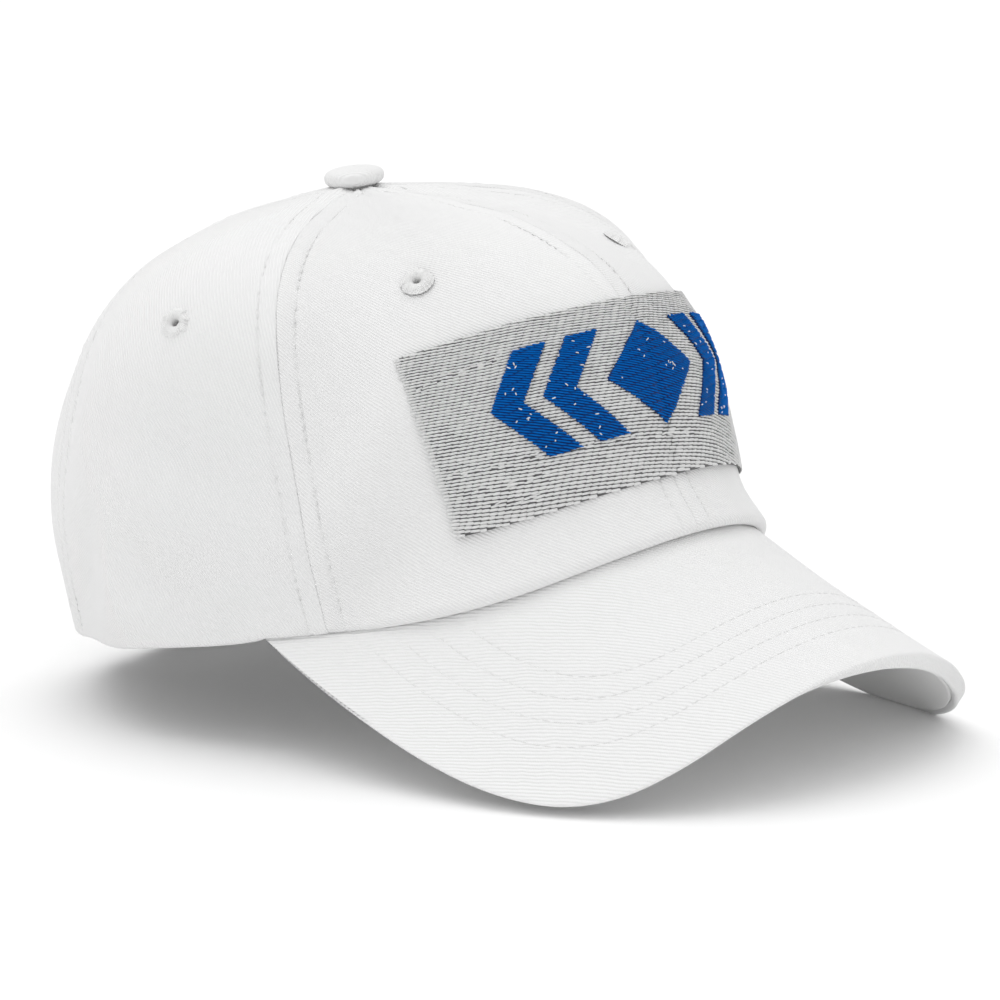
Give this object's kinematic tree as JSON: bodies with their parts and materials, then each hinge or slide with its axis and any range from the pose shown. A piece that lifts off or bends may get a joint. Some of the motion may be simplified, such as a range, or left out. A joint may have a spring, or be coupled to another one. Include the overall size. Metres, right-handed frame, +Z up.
{
  "type": "dad hat",
  "caption": "Soft cotton cap with a low panelled crown, a downward-curved peak, an embroidered front patch and a buckled rear strap, standing on its peak and strap",
  "frame": {"origin": "middle of the cap's box, on the surface that the cap rests on", "axes": "+Z up; the cap faces -Y; +X is the wearer's left; the seam between the front panels lies close to the YZ plane"},
  "size_m": [0.1878, 0.2536, 0.1414],
  "materials": {
    "cotton": "matt cotton twill",
    "peak_under": "matt cotton twill",
    "band": "matt cotton tape",
    "white_thread": "satin embroidery thread",
    "patch_thread": "rows of white thread over dark grey cloth",
    "blue_thread": "satin embroidery thread",
    "buckle_metal": "brushed"
  },
  "bodies": {
    "root": {"front_panel_left": "cotton", "front_panel_right": "cotton", "side_panel_left": "cotton", "side_panel_right": "cotton", "rear_panel_left": "cotton", "rear_panel_right": "cotton", "top_button": "cotton", "peak_top": "cotton", "back_strap": "cotton", "peak_under": "peak_under", "sweatband": "band", "eyelet_front_left": "white_thread", "eyelet_front_right": "white_thread", "eyelet_side_left": "white_thread", "eyelet_side_right": "white_thread", "eyelet_rear_left": "white_thread", "eyelet_rear_right": "white_thread", "front_patch": "patch_thread", "motif_lozenge": "blue_thread", "motif_chevron_left_inner": "blue_thread", "motif_chevron_left_outer": "blue_thread", "motif_chevron_right_inner": "blue_thread", "motif_chevron_right_outer": "blue_thread", "strap_buckle": "buckle_metal"}
  },
  "joints": []
}
